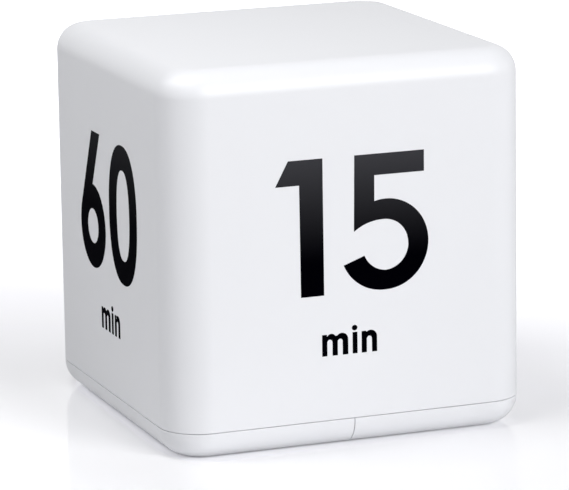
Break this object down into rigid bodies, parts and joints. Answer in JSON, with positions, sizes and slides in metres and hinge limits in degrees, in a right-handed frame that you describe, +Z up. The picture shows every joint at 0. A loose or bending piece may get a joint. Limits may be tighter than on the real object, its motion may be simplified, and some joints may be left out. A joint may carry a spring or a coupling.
{
  "type": "cube timer",
  "caption": "White rounded cube timer with times printed on its sides; its base holds a sliding battery door, a display window and a slide switch.",
  "frame": {"origin": "middle of the underside", "axes": "+Z up, front side at -Y, battery door in the half of the base at +X"},
  "size_m": [0.064, 0.064, 0.065],
  "materials": {
    "white_shell": "smooth white moulding, satin gloss",
    "white_base": "smooth white moulding, satin gloss",
    "white_door": "smooth white moulding, satin gloss",
    "clear_window": "clear acrylic",
    "display_glass": "coated display glass",
    "display_film": "silvered film",
    "strip_rubber": "layered silicone rubber",
    "board_laminate": "green solder mask",
    "screw_steel": "zinc plated",
    "chip_resin": "black resin",
    "crystal_can": "drawn can",
    "capacitor_ceramic": "fired ceramic",
    "resistor_body": "glazed film",
    "coil_winding": "sleeved winding",
    "transistor_body": "moulded body",
    "switch_sheet": "pressed sheet",
    "switch_laminate": "brown laminate",
    "pin_metal": "tinned",
    "black_plastic": "fine satin",
    "disc_brass": "rolled sheet",
    "disc_ceramic": "silvered ceramic",
    "tilt_can": "drawn can",
    "ball_steel": "polished",
    "cell_sleeve": "printed metal sleeve",
    "contact_plate": "nickel plated",
    "lead_red": "extruded sheath",
    "lead_black": "extruded sheath"
  },
  "bodies": {
    "case": {"case_shell": "white_shell", "base_cover": "white_base", "display_window": "clear_window", "display_front_glass": "display_glass", "display_rear_glass": "display_glass", "display_film": "display_film", "display_strip": "strip_rubber", "circuit_board": "board_laminate", "board_screws": "screw_steel", "sealed_chip": "chip_resin", "timing_crystal": "crystal_can", "capacitors": "capacitor_ceramic", "resistors": "resistor_body", "drive_coil": "coil_winding", "drive_transistor": "transistor_body", "switch_case": "switch_sheet", "switch_base": "switch_laminate", "switch_pins": "pin_metal", "buzzer_case": "black_plastic", "buzzer_disc": "disc_brass", "buzzer_ceramic": "disc_ceramic", "buzzer_pins": "pin_metal", "tilt_cans": "tilt_can", "tilt_plugs": "black_plastic", "tilt_wires": "pin_metal", "near_cell": "cell_sleeve", "far_cell": "cell_sleeve", "minus_contact": "contact_plate", "minus_spring": "contact_plate", "plus_contact": "contact_plate", "bridge_contact": "contact_plate", "bridge_spring": "contact_plate", "plus_lead": "lead_red", "minus_lead": "lead_black"},
    "door": {"battery_door": "white_door"},
    "power_switch": {"switch_slider": "black_plastic", "switch_knob": "black_plastic"},
    "ball_left": {"tilt_ball_left": "ball_steel"},
    "ball_right": {"tilt_ball_right": "ball_steel"},
    "ball_front": {"tilt_ball_front": "ball_steel"},
    "ball_back": {"tilt_ball_back": "ball_steel"}
  },
  "joints": [
    {"name": "door_slide", "type": "slide", "parent": "case", "child": "door", "axis": [1, 0, 0], "range_m": [0, 0.036]},
    {"name": "switch_slide", "type": "slide", "parent": "case", "child": "power_switch", "axis": [1, 0, 0], "range_m": [0, 0.002]},
    {"name": "ball_left_roll", "type": "slide", "parent": "case", "child": "ball_left", "axis": [-1, 0, 0], "range_m": [0, 0.003]},
    {"name": "ball_right_roll", "type": "slide", "parent": "case", "child": "ball_right", "axis": [1, 0, 0], "range_m": [0, 0.003]},
    {"name": "ball_front_roll", "type": "slide", "parent": "case", "child": "ball_front", "axis": [0, -1, 0], "range_m": [0, 0.003]},
    {"name": "ball_back_roll", "type": "slide", "parent": "case", "child": "ball_back", "axis": [0, 1, 0], "range_m": [0, 0.003]}
  ]
}
